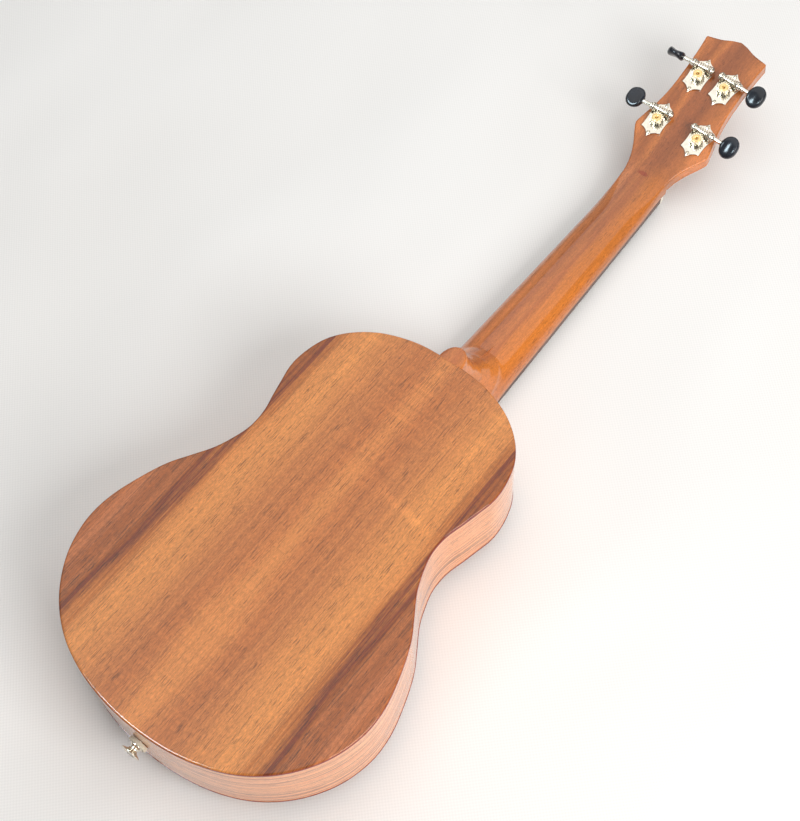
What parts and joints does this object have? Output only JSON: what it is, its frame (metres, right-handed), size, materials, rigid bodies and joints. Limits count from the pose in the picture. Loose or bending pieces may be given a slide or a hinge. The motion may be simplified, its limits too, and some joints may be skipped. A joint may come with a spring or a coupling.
{
  "type": "ukulele",
  "caption": "Tenor ukulele lying face down: flat-backed waisted soundbox, slim neck with heel, tilted head with open worm-gear tuners, bridge, frets, strings and strap button.",
  "frame": {"origin": "middle of the footprint, on the surface that the strings rest on when the ukulele lies face down", "axes": "+Y along the strings from the tail to the head, +X across towards the G string, +Z out of the back"},
  "size_m": [0.2214, 0.6802, 0.0694],
  "materials": {
    "back_wood": "gloss lacquer over book-matched acacia",
    "side_wood": "gloss lacquer over acacia bent along its grain",
    "top_wood": "gloss lacquer",
    "neck_wood": "satin-gloss stained mahogany",
    "dark_wood": "oiled dark rosewood",
    "inner_wood": "bare sanded",
    "bone": "polished bone",
    "plated_steel": "polished nickel plate",
    "brass": "polished",
    "button_plastic": "polished black",
    "string": "clear nylon",
    "felt": "pressed felt"
  },
  "bodies": {
    "instrument": {"back_plate": "back_wood", "top_plate": "top_wood", "rosette": "dark_wood", "side_bass": "side_wood", "side_treble": "side_wood", "lining_back_bass": "inner_wood", "lining_back_treble": "inner_wood", "lining_top_bass": "inner_wood", "lining_top_treble": "inner_wood", "neck_block": "inner_wood", "tail_block": "inner_wood", "back_brace_upper": "inner_wood", "back_brace_middle": "inner_wood", "back_brace_lower": "inner_wood", "top_brace_upper": "inner_wood", "top_brace_lower": "inner_wood", "bridge_plate": "inner_wood", "fan_brace_treble": "inner_wood", "fan_brace_centre": "inner_wood", "fan_brace_bass": "inner_wood", "bridge": "dark_wood", "saddle": "bone", "neck": "neck_wood", "head_veneer": "back_wood", "fretboard": "dark_wood", "nut": "bone", "felt_washer": "felt", "strap_button": "plated_steel", "strap_screw": "plated_steel", "tuner_plate_g": "plated_steel", "post_bushing_g": "plated_steel", "string_g": "string", "tuner_plate_c": "plated_steel", "post_bushing_c": "plated_steel", "string_c": "string", "tuner_plate_e": "plated_steel", "post_bushing_e": "plated_steel", "string_e": "string", "tuner_plate_a": "plated_steel", "post_bushing_a": "plated_steel", "string_a": "string"},
    "knob_g": {"worm_shaft_g": "plated_steel", "tuner_button_g": "button_plastic"},
    "post_g": {"tuner_gear_g": "brass", "string_post_g": "plated_steel"},
    "knob_c": {"worm_shaft_c": "plated_steel", "tuner_button_c": "button_plastic"},
    "post_c": {"tuner_gear_c": "brass", "string_post_c": "plated_steel"},
    "knob_e": {"worm_shaft_e": "plated_steel", "tuner_button_e": "button_plastic"},
    "post_e": {"tuner_gear_e": "brass", "string_post_e": "plated_steel"},
    "knob_a": {"worm_shaft_a": "plated_steel", "tuner_button_a": "button_plastic"},
    "post_a": {"tuner_gear_a": "brass", "string_post_a": "plated_steel"}
  },
  "joints": [
    {"name": "knob_turn_g", "type": "hinge", "parent": "instrument", "child": "knob_g", "pos_m": [0.01768, 0.25756, 0.04052], "axis": [0.9986, -0.0506, -0.0132], "continuous": true},
    {"name": "post_turn_g", "type": "hinge", "parent": "instrument", "child": "post_g", "pos_m": [0.0173, 0.25162, 0.03422], "axis": [0, -0.2521, 0.9677], "continuous": true},
    {"name": "knob_turn_c", "type": "hinge", "parent": "instrument", "child": "knob_c", "pos_m": [0.01194, 0.30206, 0.05211], "axis": [0.9962, -0.0843, -0.022], "continuous": true},
    {"name": "post_turn_c", "type": "hinge", "parent": "instrument", "child": "post_c", "pos_m": [0.0113, 0.29613, 0.04582], "axis": [0, -0.2521, 0.9677], "continuous": true},
    {"name": "knob_turn_e", "type": "hinge", "parent": "instrument", "child": "knob_e", "pos_m": [-0.0117, 0.30267, 0.05227], "axis": [1, 0, 0], "continuous": true},
    {"name": "post_turn_e", "type": "hinge", "parent": "instrument", "child": "post_e", "pos_m": [-0.0117, 0.29671, 0.04597], "axis": [0, -0.2521, 0.9677], "continuous": true},
    {"name": "knob_turn_a", "type": "hinge", "parent": "instrument", "child": "knob_a", "pos_m": [-0.0175, 0.25777, 0.04058], "axis": [1, 0, 0], "continuous": true},
    {"name": "post_turn_a", "type": "hinge", "parent": "instrument", "child": "post_a", "pos_m": [-0.0175, 0.25181, 0.03427], "axis": [0, -0.2521, 0.9677], "continuous": true}
  ],
  "couplings": [
    {"joint": "post_turn_g", "follows": "knob_turn_g", "ratio": 0.0625},
    {"joint": "post_turn_c", "follows": "knob_turn_c", "ratio": 0.0625},
    {"joint": "post_turn_e", "follows": "knob_turn_e", "ratio": 0.0625},
    {"joint": "post_turn_a", "follows": "knob_turn_a", "ratio": 0.0625}
  ]
}
